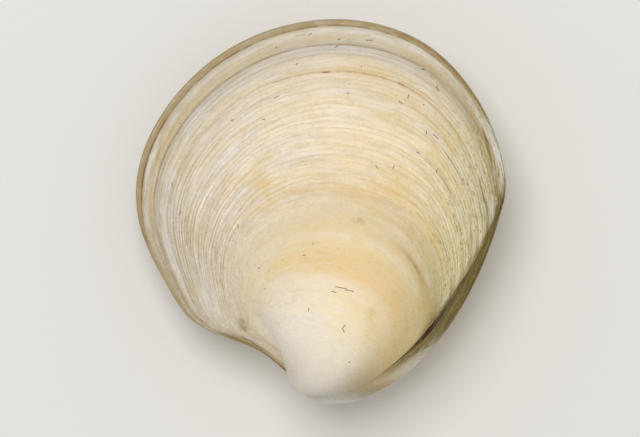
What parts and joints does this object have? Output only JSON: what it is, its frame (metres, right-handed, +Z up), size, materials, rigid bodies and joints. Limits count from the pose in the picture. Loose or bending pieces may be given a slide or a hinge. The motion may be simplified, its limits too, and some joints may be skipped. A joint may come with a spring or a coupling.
{
  "type": "clam shell",
  "caption": "Closed, nearly round clam shell lying on its left valve: two concentrically ridged valves with forward-curled beaks, held together by a sunken ligament.",
  "frame": {"origin": "on the surface the shell lies on, under the middle of its bounding box", "axes": "+Z up, out of the right valve; +Y from the beaks towards the lower margin; +X from the front of the shell to its rear, where the ligament is. The plane between the valves is tipped 13.6 degrees from level, which is how the shell balances on its left valve."},
  "size_m": [0.041, 0.0428, 0.0245],
  "materials": {
    "right_valve": "satin",
    "left_valve": "satin",
    "ligament": "matt"
  },
  "bodies": {
    "root": {"right_valve": "right_valve", "left_valve": "left_valve", "ligament": "ligament"}
  },
  "joints": []
}
